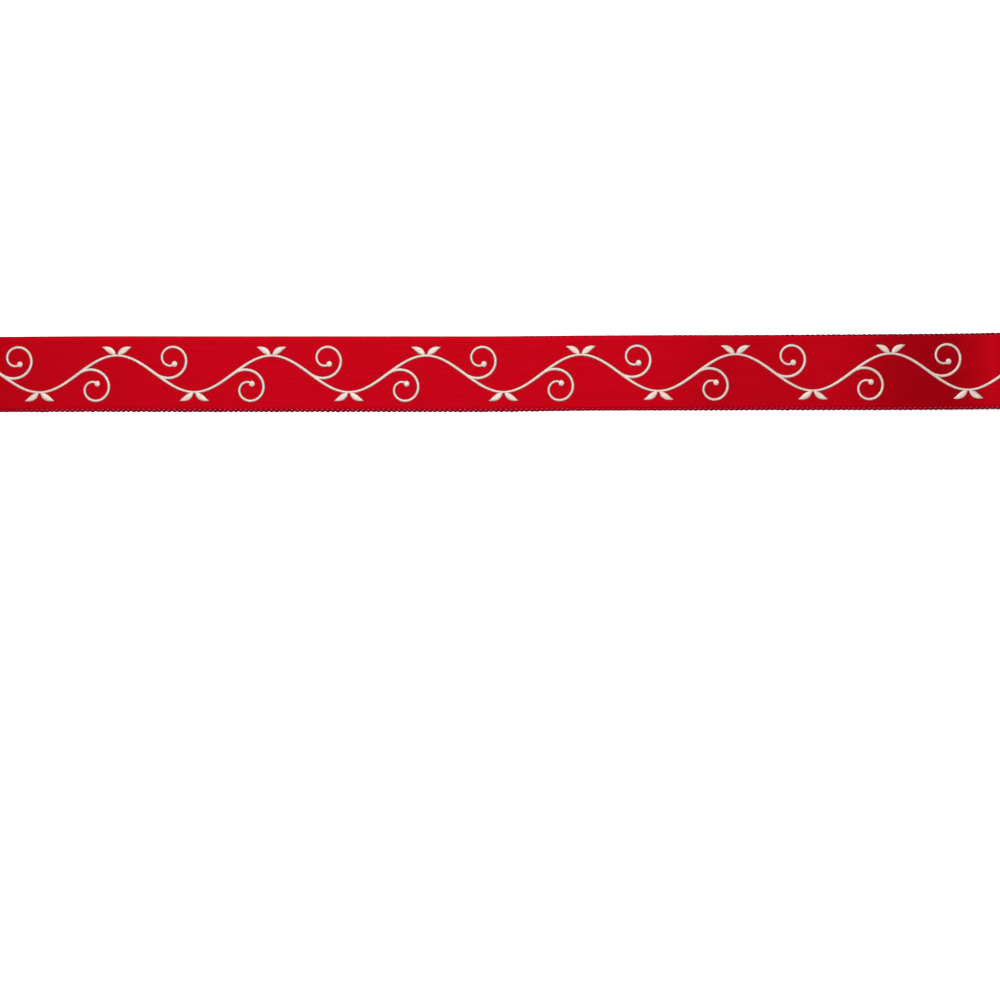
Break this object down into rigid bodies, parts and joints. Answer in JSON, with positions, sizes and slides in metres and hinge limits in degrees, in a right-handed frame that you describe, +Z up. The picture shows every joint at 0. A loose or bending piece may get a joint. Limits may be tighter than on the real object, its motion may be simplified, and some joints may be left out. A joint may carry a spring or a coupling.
{
  "type": "cut length of satin ribbon",
  "caption": "Flat cut length of woven satin ribbon with looped selvedges and a printed vine, lying face up with one low wave near its end.",
  "frame": {"origin": "on the surface the ribbon lies on, in the middle of the ribbon", "axes": "+X along the ribbon, towards the end with the low wave; +Y across the ribbon; +Z up, out of the satin face"},
  "size_m": [0.264, 0.016, 0.0027],
  "materials": {
    "satin_face": "satin weave, glossy face and duller back",
    "silver_print": "raised silver glitter print"
  },
  "bodies": {
    "root": {"ribbon": "satin_face"}
  },
  "joints": []
}
